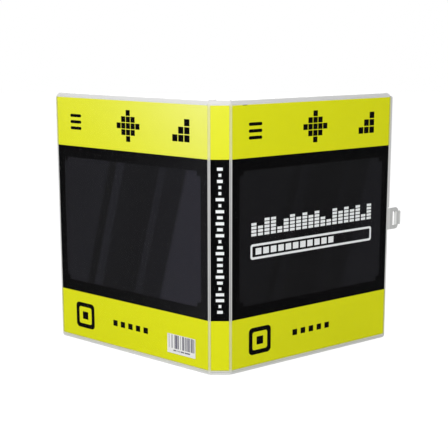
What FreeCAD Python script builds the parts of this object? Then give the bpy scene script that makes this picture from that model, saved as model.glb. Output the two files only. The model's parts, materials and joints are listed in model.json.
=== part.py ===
"""Game cartridge case: a moulded flip case that stands open on its bottom edges, like a book.

Two tray-shaped covers hang on a spine by living hinges. A clear sleeve on the outside of each panel
holds a printed card. A slotted clasp on the front cover folds over the closed edge on to a catch on
the back cover. Inside the back cover a plastic ring fixture holds pages of cartridge pockets.

Frame: millimetres, +Z up, +Y into the case, +X towards the front cover. The origin is the middle of
the spine's bottom edge. Each cover is drawn flat first, in its own frame: x from the hinge axis
towards the fore edge, y from the panel's outer face towards the inside, z up.
"""
import FreeCAD, Part
import math
import os

V = FreeCAD.Vector

# Case moulding
CASE_HEIGHT = 230.0
COVER_WIDTH = 182.2
CASE_THICKNESS = 18.0
PANEL_THICK = 1.6
WALL_THICK = 1.6
FRONT_DEPTH = 5.0
TOP_CORNER_RADIUS = 7.0
BOTTOM_CORNER_RADIUS = 2.5
EDGE_ROUND = 0.6
SEAM_GAP = 0.4
LIP_THICK = 0.7
LIP_HEIGHT = 2.2
LIP_CLEARANCE = 0.2

# Living hinges, with each cover's fold from flat as it stands open
WEB_THICK = 0.4
WEB_WIDTH = 1.2
WEB_RELIEF = 1.5
BEVEL_ANGLE = 45.0
WALL_SETBACK = 0.8
FRONT_FOLD = 36.0
BACK_FOLD = 39.6

# Clear sleeves and the printed cards in them
CARD_THICK = 0.25
CARD_END_MARGIN = 3.9
CARD_FORE_MARGIN = 2.4
CARD_HINGE_MARGIN = 1.1
CARD_CLEARANCE = 0.02
FILM_THICK = 0.2
FILM_WELD = 1.0
FILM_HINGE_WELD = 0.3
FILM_ROUND = 1.6
SLEEVE_PLAY = 0.15

# Price label on the back sleeve
LABEL_WIDTH = 32.0
LABEL_HEIGHT = 17.2
LABEL_THICK = 0.1
LABEL_FROM_HINGE = 15.0
LABEL_FROM_BOTTOM = 11.0

# Clasp on the front cover and its catch on the back cover
CLASP_LENGTH = 16.0
CLASP_WIDTH = 20.2
CLASP_DROP = 1.4
CLASP_THICK = 1.2
CLASP_CLEARANCE = 0.3
CLASP_ROUND = 3.6
TIP_LENGTH = 2.8
TIP_WIDTH = 12.8
TIP_BEAD = 0.7
SLOT_LENGTH = 13.2
SLOT_WIDTH = 2.8
SLOT_FROM_EDGE = 6.2
SLOT_ROUND = 0.9
RAMP_LENGTH = 2.0
RAMP_DEPTH = 0.7
CATCH_CLEARANCE = 0.5
CATCH_LIP = 0.9
CATCH_LIP_THICK = 0.7
CATCH_LIP_GAP = 0.2
CATCH_ROOT = 0.5

# Finger ledge on the front cover, above the clasp
LEDGE_WIDTH = 1.6
LEDGE_INSET = 0.3
LEDGE_THICK = 1.0
LEDGE_GAP = 0.6
LEDGE_FROM_TOP = 3.0
LEDGE_ROUND = 2.2

# Ring fixture inside the back cover
RING_COUNT = 3
RING_PITCH = 69.85
RING_RADIUS = 5.75
RING_ROD = 1.7
RING_WIDTH = 4.0
RING_TIP_GAP = 0.3
RING_STEM = 1.7
PIVOT_FROM_HINGE = 9.0
PIVOT_PLAY = 0.06
PIVOT_LIFT = 0.3
PIVOT_END = 4.0
EAR_WALL = 1.2
EAR_LENGTH = 6.0
EAR_FROM_RING = 9.0
EAR_MOUTH = 2.6
BASE_THICK = 1.8
BASE_BORDER = 1.5
BASE_END = 7.0
BASE_ROUND = 4.0

# Rivets that hold the ring base
RIVET_HEAD_RADIUS = 3.2
RIVET_HEAD = 0.9
RIVET_RADIUS = 1.8
RIVET_BITE = 1.0
RIVET_PLAY = 0.05

# Pocket pages
PAGE_COUNT = 3
PAGE_WIDTH = 158.0
PAGE_HEIGHT = 216.0
PAGE_FILM = 0.3
PAGE_SPACING = 0.15
PAGE_PLAY = 0.05
PAGE_ROUND = 3.0
HOLE_RADIUS = 3.2
HOLE_FROM_EDGE = 6.5
BINDING_STRIP = 15.0
POCKET_COLUMNS = 4
POCKET_ROWS = 5
POCKET_ROOM = 0.5
POCKET_LANE = 2.4
NOTCH_WIDTH = 14.0
NOTCH_FLOOR = 7.0
NOTCH_DEPTH = 4.0

# Places that follow from the sizes above
AXIS_DEPTH = WEB_THICK / 2
HINGE_SPACING = CASE_THICKNESS - 2 * AXIS_DEPTH
BACK_DEPTH = CASE_THICKNESS - FRONT_DEPTH - SEAM_GAP
WALL_START = PANEL_THICK + WALL_SETBACK
MID_HEIGHT = CASE_HEIGHT / 2
SLEEVE_THICK = CARD_THICK + CARD_CLEARANCE + FILM_THICK
CLASP_AXIS = COVER_WIDTH + CLASP_THICK - AXIS_DEPTH + CLASP_CLEARANCE
CLASP_START = 2 * CLASP_AXIS - COVER_WIDTH
CLASP_HEIGHT = MID_HEIGHT - CLASP_DROP
BASE_TOP = PANEL_THICK + BASE_THICK
PIVOT_Y = BASE_TOP + RING_ROD + PIVOT_LIFT
RING_Y = PIVOT_Y + RING_STEM
RING_X = PIVOT_FROM_HINGE + RING_RADIUS
POST_X = RING_X + RING_RADIUS
BAR_REACH = EAR_FROM_RING + EAR_LENGTH / 2 + PIVOT_END
RING_HEIGHTS = [MID_HEIGHT + (i - (RING_COUNT - 1) / 2) * RING_PITCH for i in range(RING_COUNT)]
PAGE_THICK = 2 * PAGE_FILM + POCKET_ROOM
PAGE_SAG = math.sqrt(HOLE_RADIUS ** 2 - RING_ROD ** 2) - RING_WIDTH / 2 - PAGE_PLAY


def box(x0, x1, y0, y1, z0, z1):
    """A box between two corners."""
    return Part.makeBox(x1 - x0, y1 - y0, z1 - z0, V(x0, y0, z0))


def rod(radius, start, end):
    """A round rod between two points."""
    line = end - start
    return Part.makeCylinder(radius, line.Length, start, line)


def prism(points, z0, z1):
    """A prism along Z on a closed outline of (x, y) points."""
    corners = [V(x, y, z0) for x, y in points]
    face = Part.Face(Part.makePolygon(corners + corners[:1]))
    return face.extrude(V(0, 0, z1 - z0))


def slab(points, y0, y1):
    """A slab along Y on a closed outline of (x, z) points."""
    corners = [V(x, y0, z) for x, z in points]
    face = Part.Face(Part.makePolygon(corners + corners[:1]))
    return face.extrude(V(0, y1 - y0, 0))


def rounded_plate(x0, x1, z0, z1, y0, y1, fore_round, hinge_round=0.0, top_round=None):
    """A plate in the XZ plane from y0 to y1, its corners rounded at the fore edge and the hinge side.

    The upper corner at the fore edge has a radius of its own where top_round is given.
    """
    edges = []
    corners = [(x0, z0, 180, hinge_round), (x1, z0, 270, fore_round),
               (x1, z1, 0, fore_round if top_round is None else top_round), (x0, z1, 90, hinge_round)]
    points = []
    for x, z, turn, radius in corners:
        cx = x + radius if x == x0 else x - radius
        cz = z + radius if z == z0 else z - radius
        on_arc = [V(cx + radius * math.cos(math.radians(turn + step)), y0,
                    cz + radius * math.sin(math.radians(turn + step))) for step in (0, 45, 90)]
        if points:
            edges.append(Part.LineSegment(points[-1], on_arc[0]).toShape())
        if radius > 0:
            edges.append(Part.Arc(*on_arc).toShape())
        points += on_arc
    edges.append(Part.LineSegment(points[-1], points[0]).toShape())
    return Part.Face(Part.Wire(edges)).extrude(V(0, y1 - y0, 0))


def cover_plate(inset, x0, y0, y1):
    """The cover's outline, drawn in by an inset on its three free sides, from y0 to y1."""
    return rounded_plate(x0, COVER_WIDTH - inset, inset, CASE_HEIGHT - inset, y0, y1,
                         max(BOTTOM_CORNER_RADIUS - inset, EDGE_ROUND),
                         top_round=max(TOP_CORNER_RADIUS - inset, EDGE_ROUND))


def hinge_bevel(depth):
    """What is cut from a cover's hinge side: the bevel on the panel and the wall ends up to WALL_START."""
    web_edge = WEB_WIDTH / 2
    run = (PANEL_THICK - WEB_THICK) * math.tan(math.radians(BEVEL_ANGLE))
    return prism([(0, WEB_THICK), (web_edge, WEB_THICK), (web_edge + run, PANEL_THICK),
                  (max(WALL_START, web_edge + run), PANEL_THICK),
                  (max(WALL_START, web_edge + run), depth), (0, depth)], 0, CASE_HEIGHT)


def rounded_outer_edges(block):
    """The block with the free edges of its outer face rounded over."""
    def free(edge):
        reach = edge.BoundBox
        return reach.YMax < EDGE_ROUND / 2 and reach.XMax > WEB_WIDTH / 2 + EDGE_ROUND
    return block.makeFillet(EDGE_ROUND, [e for e in block.Edges if free(e)])


def cover_tray(depth, top):
    """A cover: a panel with walls on three sides. Depth is the walls' height, top that of any lip."""
    block = rounded_outer_edges(cover_plate(0, WEB_WIDTH / 2, 0, depth))
    if top > depth:
        block = block.fuse(cover_plate(WALL_THICK - LIP_THICK, WEB_WIDTH / 2, PANEL_THICK, top))
    hollow = cover_plate(WALL_THICK, 0, PANEL_THICK, top)
    return block.cut(hollow).cut(hinge_bevel(top)).removeSplitter()


def finger_ledge():
    """The ledge that opens the front cover: a strip on its fore edge, from the clasp to the corner."""
    return rounded_plate(COVER_WIDTH - WALL_THICK, COVER_WIDTH + LEDGE_WIDTH,
                         CLASP_HEIGHT + CLASP_WIDTH / 2 + LEDGE_GAP, CASE_HEIGHT - LEDGE_FROM_TOP,
                         LEDGE_INSET, LEDGE_INSET + LEDGE_THICK, EDGE_ROUND, top_round=LEDGE_ROUND)


def front_cover():
    """The shallow cover, with its ledge. Its walls are stepped inside to take the back cover's lip."""
    groove = LIP_HEIGHT - SEAM_GAP + LIP_CLEARANCE
    step = cover_plate(WALL_THICK - LIP_THICK - LIP_CLEARANCE, 0, FRONT_DEPTH - groove, FRONT_DEPTH)
    return cover_tray(FRONT_DEPTH, FRONT_DEPTH).cut(step).fuse(finger_ledge()).removeSplitter()


def catch():
    """The hook on the back cover's fore wall that the clasp's slot drops over."""
    slot_middle = SLOT_FROM_EDGE + SLOT_WIDTH / 2 + COVER_WIDTH - CLASP_AXIS
    y_middle = CASE_THICKNESS - AXIS_DEPTH - slot_middle
    half = SLOT_WIDTH / 2 - CATCH_CLEARANCE
    under_lip = COVER_WIDTH + CLASP_CLEARANCE + CLASP_THICK + CATCH_LIP_GAP
    over_lip = under_lip + CATCH_LIP_THICK
    root = COVER_WIDTH - CATCH_ROOT
    length = SLOT_LENGTH - 2 * CATCH_CLEARANCE
    return prism([(root, y_middle + half), (root, y_middle - half), (under_lip, y_middle - half),
                  (under_lip, y_middle - half - CATCH_LIP), (over_lip, y_middle - half),
                  (over_lip, y_middle), (under_lip, y_middle + half)],
                 CLASP_HEIGHT - length / 2, CLASP_HEIGHT + length / 2)


def rivet_heights():
    """Where the rivets stand: midway between the rings."""
    return [(a + b) / 2 for a, b in zip(RING_HEIGHTS, RING_HEIGHTS[1:])]


def rivet(z, play):
    """A flush plastic rivet through the ring base into the panel, or its hole when play is given."""
    head = rod(RIVET_HEAD_RADIUS + play, V(RING_X, BASE_TOP - RIVET_HEAD - play, z), V(RING_X, BASE_TOP, z))
    shank = rod(RIVET_RADIUS + play, V(RING_X, PANEL_THICK - RIVET_BITE - play, z), V(RING_X, BASE_TOP, z))
    return head.fuse(shank)


def back_cover():
    """The deep cover, with the lip on its walls, the catch and the blind holes for the rivets."""
    tray = cover_tray(BACK_DEPTH, BACK_DEPTH + LIP_HEIGHT).fuse(catch())
    for z in rivet_heights():
        tray = tray.cut(rivet(z, RIVET_PLAY))
    return tray.removeSplitter()


def spine_panel():
    """The strip between the two hinges, bevelled inside along both."""
    outer = HINGE_SPACING / 2 - WEB_WIDTH / 2
    inner = outer - (PANEL_THICK - WEB_THICK) * math.tan(math.radians(BEVEL_ANGLE))
    return prism([(-outer, 0), (outer, 0), (outer, WEB_THICK), (inner, PANEL_THICK),
                  (-inner, PANEL_THICK), (-outer, WEB_THICK)], 0, CASE_HEIGHT)


def hinge_web(fold):
    """A living hinge bent to its fold: an arc from the spine's edge to the cover's, about the hinge axis."""
    half = WEB_WIDTH / 2
    turn = math.radians(fold)
    radius = half / math.tan(turn / 2)
    centre = V(-half, AXIS_DEPTH + radius, WEB_RELIEF)

    def on_arc(r, share):
        angle = turn * share
        return centre + V(r * math.sin(angle), -r * math.cos(angle), 0)
    inner = [on_arc(radius - AXIS_DEPTH, s) for s in (0, 0.5, 1)]
    outer = [on_arc(radius + AXIS_DEPTH, s) for s in (0, 0.5, 1)]
    wire = Part.Wire([Part.Arc(*inner).toShape(), Part.LineSegment(inner[2], outer[2]).toShape(),
                      Part.Arc(*outer[::-1]).toShape(), Part.LineSegment(outer[0], inner[0]).toShape()])
    return Part.Face(wire).extrude(V(0, 0, CASE_HEIGHT - 2 * WEB_RELIEF))


def cover_card():
    """A cover's printed card, against the panel's outer face."""
    return box(CARD_HINGE_MARGIN, COVER_WIDTH - CARD_FORE_MARGIN, -CARD_THICK, 0,
               CARD_END_MARGIN, CASE_HEIGHT - CARD_END_MARGIN)


def sleeve(card_x0, card_x1, hinge_weld, fore_weld, fore_round):
    """A clear film over a card, welded to the panel on three sides and open at the top."""
    room_x0 = card_x0 - SLEEVE_PLAY
    room_x1 = card_x1 + SLEEVE_PLAY
    room_z0 = CARD_END_MARGIN - SLEEVE_PLAY
    film_top = CASE_HEIGHT - CARD_END_MARGIN + FILM_WELD
    film = rounded_plate(room_x0 - hinge_weld, room_x1 + fore_weld, room_z0 - FILM_WELD, film_top,
                         -SLEEVE_THICK, 0, fore_round)
    return film.cut(box(room_x0, room_x1, FILM_THICK - SLEEVE_THICK, 0, room_z0, film_top))


def cover_sleeve():
    """The sleeve of a cover."""
    return sleeve(CARD_HINGE_MARGIN, COVER_WIDTH - CARD_FORE_MARGIN, FILM_HINGE_WELD, FILM_WELD, FILM_ROUND)


def spine_card():
    """The spine's printed card."""
    half = HINGE_SPACING / 2 - CARD_HINGE_MARGIN
    return box(-half, half, -CARD_THICK, 0, CARD_END_MARGIN, CASE_HEIGHT - CARD_END_MARGIN)


def spine_sleeve():
    """The sleeve of the spine."""
    half = HINGE_SPACING / 2 - CARD_HINGE_MARGIN
    return sleeve(-half, half, FILM_HINGE_WELD, FILM_HINGE_WELD, 0)


def price_label():
    """The paper label on the outside of the back sleeve."""
    return box(LABEL_FROM_HINGE, LABEL_FROM_HINGE + LABEL_WIDTH, -SLEEVE_THICK - LABEL_THICK, -SLEEVE_THICK,
               LABEL_FROM_BOTTOM, LABEL_FROM_BOTTOM + LABEL_HEIGHT)


def slot_ramp(slot_end):
    """What is cut from the flap's outer face on the tip side of its slot, where the hook's lip drops in."""
    half = SLOT_LENGTH / 2 - SLOT_ROUND
    return prism([(slot_end, 0), (slot_end + RAMP_LENGTH, 0), (slot_end, RAMP_DEPTH)],
                 CLASP_HEIGHT - half, CLASP_HEIGHT + half)


def clasp_flap():
    """The clasp's flap: rounded, slotted for the catch, with a narrow finger tip that ends in a bead."""
    shoulder = COVER_WIDTH + CLASP_LENGTH - TIP_LENGTH
    tip = COVER_WIDTH + CLASP_LENGTH
    flap = rounded_plate(CLASP_START, shoulder, CLASP_HEIGHT - CLASP_WIDTH / 2,
                         CLASP_HEIGHT + CLASP_WIDTH / 2, 0, CLASP_THICK, CLASP_ROUND)
    finger = rounded_plate(shoulder - CLASP_ROUND, tip, CLASP_HEIGHT - TIP_WIDTH / 2,
                           CLASP_HEIGHT + TIP_WIDTH / 2, 0, CLASP_THICK, TIP_BEAD)
    bead_x = tip - TIP_BEAD
    bead_half = TIP_WIDTH / 2 - TIP_BEAD
    bead = rod(TIP_BEAD, V(bead_x, 0, CLASP_HEIGHT - bead_half), V(bead_x, 0, CLASP_HEIGHT + bead_half))
    slot_x = COVER_WIDTH + SLOT_FROM_EDGE
    slot = rounded_plate(slot_x, slot_x + SLOT_WIDTH, CLASP_HEIGHT - SLOT_LENGTH / 2,
                         CLASP_HEIGHT + SLOT_LENGTH / 2, 0, CLASP_THICK, SLOT_ROUND, SLOT_ROUND)
    return flap.fuse(finger).fuse(bead).cut(slot).cut(slot_ramp(slot_x + SLOT_WIDTH)).removeSplitter()


def clasp_web():
    """The thin web that the clasp folds on."""
    half = CLASP_WIDTH / 2
    return box(COVER_WIDTH, CLASP_START, 0, WEB_THICK, CLASP_HEIGHT - half, CLASP_HEIGHT + half)


def ear(z):
    """A snap-in bearing for the ring bar: a chamfered block whose mouth is narrower than the bar."""
    half = RING_ROD + PIVOT_PLAY + EAR_WALL
    flat = half - EAR_WALL
    z0 = z - EAR_LENGTH / 2
    z1 = z + EAR_LENGTH / 2
    pivot = V(PIVOT_FROM_HINGE, PIVOT_Y, 0)
    block = prism([(pivot.x - half, BASE_TOP), (pivot.x + half, BASE_TOP),
                   (pivot.x + half, PIVOT_Y + flat), (pivot.x + flat, PIVOT_Y + half),
                   (pivot.x - flat, PIVOT_Y + half), (pivot.x - half, PIVOT_Y + flat)], z0, z1)
    bore = rod(RING_ROD + PIVOT_PLAY, pivot + V(0, 0, z0), pivot + V(0, 0, z1))
    mouth = box(pivot.x - EAR_MOUTH / 2, pivot.x + EAR_MOUTH / 2, PIVOT_Y, PIVOT_Y + half, z0, z1)
    return block.cut(bore).cut(mouth)


def ring_leg(x, y0, z):
    """The straight leg of a ring, from y0 up to where its bow starts."""
    return box(x - RING_ROD, x + RING_ROD, y0, RING_Y, z - RING_WIDTH / 2, z + RING_WIDTH / 2)


def ring_bow(z):
    """The fixed side of a ring's bow: a quarter of a flat hoop, short of the top by half the tip gap."""
    foot = V(RING_X, RING_Y, z - RING_WIDTH / 2)
    gap_angle = math.degrees(math.asin(RING_TIP_GAP / 2 / RING_RADIUS))
    quarter = Part.makeCylinder(RING_RADIUS + RING_ROD, RING_WIDTH, foot, V(0, 0, 1), 90 - gap_angle)
    return quarter.cut(Part.makeCylinder(RING_RADIUS - RING_ROD, RING_WIDTH, foot))


def ring_base():
    """The riveted strip: a fixed post and bow for each ring, and the ears that the ring bar turns in."""
    ear_reach = RING_ROD + PIVOT_PLAY + EAR_WALL
    end_reach = BAR_REACH + BASE_END
    base = rounded_plate(PIVOT_FROM_HINGE - ear_reach - BASE_BORDER, POST_X + RING_ROD + BASE_BORDER,
                         RING_HEIGHTS[0] - end_reach, RING_HEIGHTS[-1] + end_reach, PANEL_THICK, BASE_TOP,
                         BASE_ROUND, BASE_ROUND)
    for z in RING_HEIGHTS:
        post = ring_leg(POST_X, PANEL_THICK, z)
        base = base.fuse([post, ring_bow(z), ear(z - EAR_FROM_RING), ear(z + EAR_FROM_RING)])
    return base.cut([rivet(z, RIVET_PLAY) for z in rivet_heights()]).removeSplitter()


def ring_bar():
    """The turning bar, with an arm for each ring that closes on the fixed post's bow."""
    bar = rod(RING_ROD, V(PIVOT_FROM_HINGE, PIVOT_Y, RING_HEIGHTS[0] - BAR_REACH),
              V(PIVOT_FROM_HINGE, PIVOT_Y, RING_HEIGHTS[-1] + BAR_REACH))
    for z in RING_HEIGHTS:
        arm = ring_bow(z).mirror(V(RING_X, 0, 0), V(1, 0, 0))
        bar = bar.fuse([ring_leg(PIVOT_FROM_HINGE, PIVOT_Y, z), arm])
    return bar.removeSplitter()


def pocket_page(level):
    """A film page with rows of open-topped cartridge pockets, hung on the ring posts at a level."""
    x0 = POST_X - HOLE_FROM_EDGE
    y0 = BASE_TOP + PAGE_SPACING + level * (PAGE_THICK + PAGE_SPACING)
    z0 = MID_HEIGHT - PAGE_HEIGHT / 2 - PAGE_SAG
    front = y0 + PAGE_THICK
    sheet = rounded_plate(x0, x0 + PAGE_WIDTH, z0, z0 + PAGE_HEIGHT, y0, y0 + PAGE_FILM,
                          PAGE_ROUND, PAGE_ROUND)
    pitch_x = (PAGE_WIDTH - BINDING_STRIP) / POCKET_COLUMNS
    pitch_z = (PAGE_HEIGHT - POCKET_LANE) / POCKET_ROWS
    pockets = []
    holes = [V(POST_X, y0, z - PAGE_SAG) for z in RING_HEIGHTS]
    cuts = [rod(HOLE_RADIUS, hole, hole + V(0, PAGE_FILM, 0)) for hole in holes]
    for column in range(POCKET_COLUMNS):
        left = x0 + BINDING_STRIP + column * pitch_x
        right = left + pitch_x - POCKET_LANE
        middle = (left + right) / 2
        for row in range(POCKET_ROWS):
            bottom = z0 + POCKET_LANE + row * pitch_z
            top = bottom + pitch_z - POCKET_LANE
            room = y0 + PAGE_FILM
            pockets.append(box(left, right, room, front, bottom, top))
            cuts.append(box(left + PAGE_FILM, right - PAGE_FILM, room, room + POCKET_ROOM,
                            bottom + PAGE_FILM, top))
            notch = [(middle - NOTCH_WIDTH / 2, top), (middle - NOTCH_FLOOR / 2, top - NOTCH_DEPTH),
                     (middle + NOTCH_FLOOR / 2, top - NOTCH_DEPTH), (middle + NOTCH_WIDTH / 2, top)]
            cuts.append(slab(notch, room, front))
    return sheet.fuse(pockets).cut(cuts).removeSplitter()


def on_spine(shape):
    """Moves a piece drawn on the spine into the case's frame."""
    return shape.translated(V(0, -PANEL_THICK / 2, 0))


def at_front(shape, fold):
    """Turns a piece of the front cover to its fold and moves it into the case's frame."""
    turned = shape.rotated(V(0, AXIS_DEPTH, 0), V(0, 0, 1), fold)
    return turned.translated(V(HINGE_SPACING / 2, -PANEL_THICK / 2, 0))


def at_back(shape, fold):
    """Mirrors a piece to the back cover's side, turns it to its fold and moves it into the case's frame."""
    turned = shape.mirror(V(0, 0, 0), V(1, 0, 0)).rotated(V(0, AXIS_DEPTH, 0), V(0, 0, 1), -fold)
    return turned.translated(V(-HINGE_SPACING / 2, -PANEL_THICK / 2, 0))


def build():
    """Every piece by name, standing open."""
    pieces = {
        "spine_panel": on_spine(spine_panel()),
        "spine_card": on_spine(spine_card()),
        "spine_sleeve": on_spine(spine_sleeve()),
        "front_hinge_web": at_front(hinge_web(FRONT_FOLD), 0),
        "back_hinge_web": at_back(hinge_web(BACK_FOLD), 0),
        "front_cover": at_front(front_cover(), FRONT_FOLD),
        "front_card": at_front(cover_card(), FRONT_FOLD),
        "front_sleeve": at_front(cover_sleeve(), FRONT_FOLD),
        "clasp_web": at_front(clasp_web(), FRONT_FOLD),
        "clasp_flap": at_front(clasp_flap(), FRONT_FOLD),
        "back_cover": at_back(back_cover(), BACK_FOLD),
        "back_card": at_back(cover_card(), BACK_FOLD),
        "back_sleeve": at_back(cover_sleeve(), BACK_FOLD),
        "price_label": at_back(price_label(), BACK_FOLD),
        "ring_base": at_back(ring_base(), BACK_FOLD),
        "ring_rivets": at_back(Part.makeCompound([rivet(z, 0) for z in rivet_heights()]), BACK_FOLD),
        "ring_bar": at_back(ring_bar(), BACK_FOLD),
    }
    for level in range(PAGE_COUNT):
        pieces["pocket_page_%d" % (level + 1)] = at_back(pocket_page(level), BACK_FOLD)
    return pieces


os.makedirs("parts", exist_ok=True)
for name, shape in build().items():
    whole = shape.Solids[0] if len(shape.Solids) == 1 else shape
    whole.exportStep("parts/%s.step" % name)
    print("%s: %d solids, %.1f mm3" % (name, len(shape.Solids), shape.Volume))
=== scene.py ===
"""Dresses a flip case for game cartridges: printed cards, clear sleeves, moulded plastic, living hinges,
ring fixture and pocket pages, on a plain pale stage.

Everything is in metres, in the case's own frame: +Z up, +Y into the case, the spine's bottom edge at the
origin. Print is drawn in millimetres on each card laid flat: X from its left edge, Z up from the floor.
"""

import json
import math

import bmesh
import bpy
from bpy.props import FloatProperty, FloatVectorProperty, IntProperty, PointerProperty
from mathutils import Matrix, Vector


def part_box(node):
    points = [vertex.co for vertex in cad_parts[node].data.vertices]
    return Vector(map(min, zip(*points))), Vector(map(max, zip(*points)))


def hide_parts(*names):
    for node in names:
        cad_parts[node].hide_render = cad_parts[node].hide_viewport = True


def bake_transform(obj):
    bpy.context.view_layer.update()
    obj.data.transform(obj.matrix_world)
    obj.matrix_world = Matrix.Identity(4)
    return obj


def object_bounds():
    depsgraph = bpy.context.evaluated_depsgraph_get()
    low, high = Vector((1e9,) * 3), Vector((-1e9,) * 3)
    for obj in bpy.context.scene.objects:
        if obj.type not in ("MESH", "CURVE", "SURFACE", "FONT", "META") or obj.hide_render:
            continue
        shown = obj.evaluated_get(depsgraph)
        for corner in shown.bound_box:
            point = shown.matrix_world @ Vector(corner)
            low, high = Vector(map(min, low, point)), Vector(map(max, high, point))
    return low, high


bl_info = {
    "name": "Cartridge Case Dresser",
    "version": (1, 0, 0),
    "blender": (4, 5, 0),
    "location": "View3D > Sidebar > Case",
    "description": "Gives a moulded flip case its print, films, plastics, hinges and stage",
    "category": "Object",
}

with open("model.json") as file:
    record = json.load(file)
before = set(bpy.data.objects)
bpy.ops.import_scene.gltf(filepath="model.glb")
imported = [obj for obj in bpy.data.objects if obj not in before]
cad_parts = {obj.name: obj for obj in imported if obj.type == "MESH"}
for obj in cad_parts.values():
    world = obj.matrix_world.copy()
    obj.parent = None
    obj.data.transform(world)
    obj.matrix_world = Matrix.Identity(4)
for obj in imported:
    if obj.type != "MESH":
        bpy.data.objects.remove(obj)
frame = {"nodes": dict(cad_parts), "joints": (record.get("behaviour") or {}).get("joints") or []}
CAD_LOW, CAD_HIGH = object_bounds()
NODES = frame["nodes"]
JOINTS = {joint["name"]: joint for joint in frame["joints"]}

MM = 1000.0
FLOAT = "NodeSocketFloat"
VECTOR = "NodeSocketVector"
WHITE = (1.0, 1.0, 1.0, 1.0)
NO_TINT = WHITE[:3]

# Print, in millimetres
INK_EDGE = 0.12
SHARP_CORNER = 0.3
PRINT_DEPTH = 0.03
OUT_OF_PLANE = 1000.0
UPPER_MARKS = 204.5
LOWER_MARKS = 25.0
METER_HEIGHT = 123.5
PROGRESS_HEIGHT = 103.0
# Painted shadow at the front card's upper edge near the hinge: its distance from the hinge, width and depth
EDGE_SHADOW_FROM_HINGE = 13.0
EDGE_SHADOW_WIDTH = 4.6
EDGE_SHADOW_DEPTH = 0.5

# Printed glare: how far across the window each change of tone lies, and how light it is there
GLARE_BANDS = ((0.00, 0.34), (0.25, 0.40), (0.27, 0.06), (0.31, 0.06), (0.32, 0.52), (0.37, 0.46),
               (0.38, 0.16), (0.62, 0.12), (0.63, 0.46), (0.67, 0.42), (0.68, 0.22), (0.80, 0.26),
               (0.82, 0.92), (1.00, 1.00))

# Painted sheen on the cards: the powers by which it grows across a card and upwards
SHEEN_ACROSS = 2.0
SHEEN_UPWARDS = 3.0

# Pocket pages: their nodes, the pockets across and up, and their plain strips in millimetres
PAGES = ("pocket_page_1", "pocket_page_2", "pocket_page_3")
POCKETS = (4, 5)
POCKET_LANE = 2.4
BINDING_STRIP = 15.0

# Welds, the soft edge of the painted light and shade beside the print, and where the painted highlight lies
# on the clasp's thinned ramp, in millimetres
WELD_CREEP = 0.1
BLEED_EDGE = 3.0
CLASP_RAMP = (6.2, 8.8)
CLASP_RAMP_HALF = 6.4
CLASP_RAMP_ROUND = 1.0

# Living hinges: how far each runs on past its ends, in metres, and how fast its whitening falls off
WEB_REACH = 0.0012
CREASE_FALL = 2.6

# Specular level of the moulded plastics
PLASTIC_GLOSS = 0.25

# Grain of each surface: grains and mottles to the metre, their share in the tone, bump strength and depth
SHELL_GRAIN = {"grain": 1500.0, "mottle": 35.0, "amount": 0.05, "relief": (0.12, 0.0002)}
RING_GRAIN = {**SHELL_GRAIN, "grain": 700.0}
WEB_GRAIN = {"grain": 900.0, "mottle": 60.0, "amount": 0.10, "relief": (0.2, 0.0002)}
CARD_GRAIN = {"grain": 2600.0, "mottle": 160.0, "amount": 0.05, "relief": (0.05, 0.0001)}
PAPER_GRAIN = {"grain": 2200.0, "mottle": 240.0, "amount": 0.06, "relief": (0.15, 0.0001)}

# Slack of each film: waves to the metre, roughness and what haze adds to it, bump strength and depth
SLEEVE_SLACK = {"wave": 14.0, "haze": 0.1, "roughness": 0.12, "relief": (0.15, 0.0015)}
PAGE_SLACK = {"wave": 38.0, "haze": 0.14, "roughness": 0.08, "relief": (0.5, 0.002)}
WAVE_STRETCH = (1.0, 1.0, 0.4)
HAZE_SCALE = 220.0

# Stage: each softbox's azimuth, elevation and distance from the camera's target, and its sides in metres
KEY_PLACE = (math.radians(-16.5), math.radians(48.0), 1.04)
KEY_SIZE = (0.6, 0.6)
BACK_PLACE = (math.radians(178.0), math.radians(28.0), 1.2)
BACK_SIZE = (0.9, 0.6)
FLOOR_REACH = 4.0
FLOOR_GREY = (0.68, 0.68, 0.68)
FLOOR_GLOW = 1.12
FLOOR_GLOW_SHARE = 0.88


def fold_from_flat(joint):
    """How far a cover stands folded from flat, in radians: flat is the hinge's lower limit."""
    return -math.radians(JOINTS[joint]["range_deg"][0])


def pivot(joint):
    """Where a joint's axis passes, in metres."""
    return Vector(JOINTS[joint]["pos_m"])


TURN = {
    "front": -fold_from_flat("front_cover_hinge"),
    "back": fold_from_flat("back_cover_hinge"),
    "spine": 0.0,
}


def laid_flat(node, turn):
    """Lowest and highest corner of a node in millimetres, turned about Z until its panel runs along X."""
    flat = Matrix.Rotation(turn, 3, "Z") * MM
    corners = [flat @ vertex.co for vertex in NODES[node].data.vertices]
    return Vector(map(min, zip(*corners))), Vector(map(max, zip(*corners)))


# Settings

def colour_setting(name, description, default):
    """A colour that a user would change."""
    return FloatVectorProperty(name=name, description=description, subtype="COLOR", size=3,
                               min=0.0, max=1.0, default=default)


def length_setting(name, description, default):
    """A length in metres that a user would change."""
    return FloatProperty(name=name, description=description, unit="LENGTH", precision=4,
                         min=0.0, default=default)


def share_setting(name, description, default):
    """A share from 0 to 1 that a user would change."""
    return FloatProperty(name=name, description=description, subtype="FACTOR", min=0.0, max=1.0,
                         default=default)


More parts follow.
